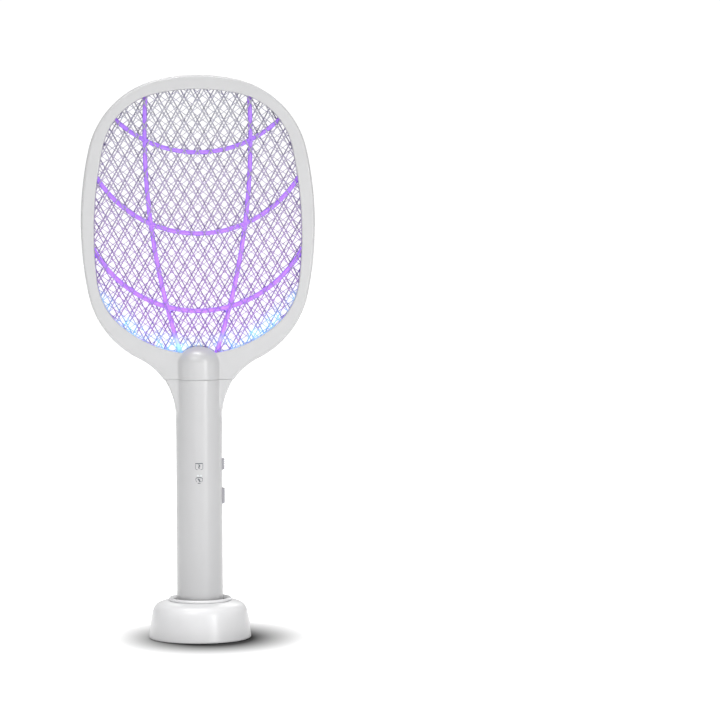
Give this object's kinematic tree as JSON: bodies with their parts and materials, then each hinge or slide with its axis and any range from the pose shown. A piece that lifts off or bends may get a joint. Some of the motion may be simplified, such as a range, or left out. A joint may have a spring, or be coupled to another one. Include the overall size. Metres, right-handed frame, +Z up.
{
  "type": "electric fly swatter",
  "caption": "Racket-shaped electric fly swatter with guard nets, violet ribs, a round handle with side controls, a charging stand it lifts out of, and a short charging lead.",
  "frame": {"origin": "centre of the stand's footprint on the surface it stands on", "axes": "+Z up along the handle towards the head, -Y towards the front with the indicator dots, +X towards the side with the knob and the button"},
  "size_m": [0.2008, 0.1506, 0.4862],
  "materials": {
    "shell_abs": "fine satin moulded ABS",
    "stand_abs": "smooth moulded ABS",
    "control_abs": "fine satin moulded ABS",
    "rib_plastic": "violet translucent polypropylene",
    "guard_wire": "drawn and welded steel wire",
    "charged_wire": "drawn steel wire",
    "steel": "zinc plated steel",
    "brass_plate": "plated brass",
    "circuit_board": "glass epoxy with solder mask",
    "black_plastic": "moulded nylon",
    "lamp_plastic": "clear lamp resin",
    "light_guide": "clear acrylic",
    "rubber": "moulded rubber",
    "battery_wrap": "shrink film over a steel can",
    "winding": "varnished copper winding and tape",
    "film_case": "dipped epoxy",
    "red_wire": "PVC insulation",
    "black_wire": "PVC insulation",
    "white_wire": "PVC insulation",
    "lead_pvc": "soft PVC"
  },
  "bodies": {
    "stand": {"stand_shell": "stand_abs", "socket_cup": "stand_abs", "stand_plate": "stand_abs", "stand_feet": "rubber", "stand_screws": "steel", "ballast_ring": "steel", "stand_board": "circuit_board", "usb_inlet": "steel", "pin_housing": "black_plastic", "pin_spring_left": "steel", "pin_spring_right": "steel"},
    "charge_pin_left": {"pin_left": "brass_plate"},
    "charge_pin_right": {"pin_right": "brass_plate"},
    "swatter": {"head_front": "shell_abs", "head_rear": "shell_abs", "front_net": "guard_wire", "inner_net": "charged_wire", "rear_net": "guard_wire", "front_ribs": "rib_plastic", "rear_ribs": "rib_plastic", "lure_board": "circuit_board", "lure_lamps": "lamp_plastic", "head_screws": "steel", "handle_front": "shell_abs", "handle_rear": "shell_abs", "handle_cap": "shell_abs", "contact_pads": "brass_plate", "battery_cell": "battery_wrap", "battery_cradle": "black_plastic", "battery_contacts": "steel", "main_board": "circuit_board", "board_chips": "black_plastic", "hv_transformer": "winding", "hv_capacitors": "film_case", "slide_switch": "black_plastic", "tact_switch": "black_plastic", "indicator_lamps": "lamp_plastic", "light_guides": "light_guide", "charge_leads": "red_wire", "net_leads": "white_wire", "battery_leads": "black_wire", "handle_screws": "steel"},
    "knob": {"mode_knob": "control_abs"},
    "button": {"zap_button": "control_abs"},
    "lead": {"micro_plug_shell": "steel", "micro_plug_body": "lead_pvc", "lead_run_in": "lead_pvc", "lead_coil": "lead_pvc", "lead_run_out": "lead_pvc", "lead_tie": "black_plastic", "usb_plug_body": "lead_pvc", "usb_plug_shell": "steel"}
  },
  "joints": [
    {"name": "lift_out", "type": "slide", "parent": "stand", "child": "swatter", "axis": [0, 0, 1], "range_m": [0, 0.06]},
    {"name": "mode_slide", "type": "slide", "parent": "swatter", "child": "knob", "axis": [0, 0, 1], "range_m": [0, 0.004]},
    {"name": "button_press", "type": "slide", "parent": "swatter", "child": "button", "axis": [-1, 0, 0], "range_m": [0, 0.0012], "stiffness_N_per_m": 600},
    {"name": "pin_left_press", "type": "slide", "parent": "stand", "child": "charge_pin_left", "axis": [0, 0, -1], "range_m": [0, 0.0015], "stiffness_N_per_m": 300, "deforming": ["pin_spring_left"]},
    {"name": "pin_right_press", "type": "slide", "parent": "stand", "child": "charge_pin_right", "axis": [0, 0, -1], "range_m": [0, 0.0015], "stiffness_N_per_m": 300, "deforming": ["pin_spring_right"]},
    {"name": "lead_unplug", "type": "slide", "parent": "stand", "child": "lead", "axis": [0, 1, 0], "range_m": [0, 0.012]}
  ]
}
